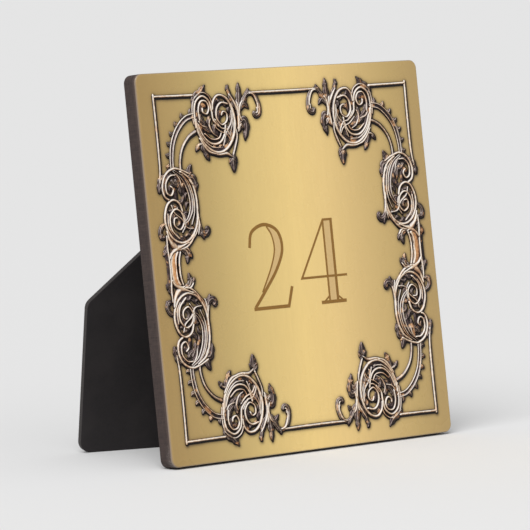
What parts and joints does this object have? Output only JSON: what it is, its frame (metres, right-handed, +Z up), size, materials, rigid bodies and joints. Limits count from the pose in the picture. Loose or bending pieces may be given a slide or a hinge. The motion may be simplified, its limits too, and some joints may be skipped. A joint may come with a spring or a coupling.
{
  "type": "table number plaque",
  "caption": "Square printed hardboard table number plaque that leans back on a flat easel leg, hinged at 45 degrees so that it can stand on either of two sides.",
  "frame": {"origin": "on the table, under the middle of the whole object's box, with the leg open on its stop", "axes": "+X to the right as the printed face is read, +Y to the back, +Z up; the panel leans back by 7.7 degrees about X"},
  "size_m": [0.1334, 0.0578, 0.133],
  "materials": {
    "hardboard": "dark brown hardboard, cut and lightly sanded edge",
    "gold_print": "glossy printed coating, gold with a lighter middle",
    "printed_scrollwork": "glossy print of bronze scrollwork, with pale highlights and dark brown shadow",
    "printed_lettering": "glossy print of brown open-face letters",
    "leg_hardboard": "dark grey-brown hardboard, cut edge",
    "black_paper": "matt black paper",
    "hinge_steel": "zinc-plated steel, satin",
    "screw_steel": "zinc-plated steel, satin",
    "rivet_steel": "black painted steel"
  },
  "bodies": {
    "plaque": {"panel_board": "hardboard", "printed_coating": "gold_print", "panel_hinge_leaf": "hinge_steel", "hinge_pin": "hinge_steel", "panel_leaf_screws": "screw_steel"},
    "leg": {"leg_hinge_leaf": "hinge_steel", "leg_core": "leg_hardboard", "leg_front_paper": "black_paper", "leg_back_paper": "black_paper", "leg_rivets": "rivet_steel"}
  },
  "joints": [
    {"name": "leg_fold", "type": "hinge", "parent": "plaque", "child": "leg", "pos_m": [0.021, -0.00913, 0.08666], "axis": [-0.7071, 0.0947, 0.7007], "range_deg": [0, 23.1]}
  ]
}
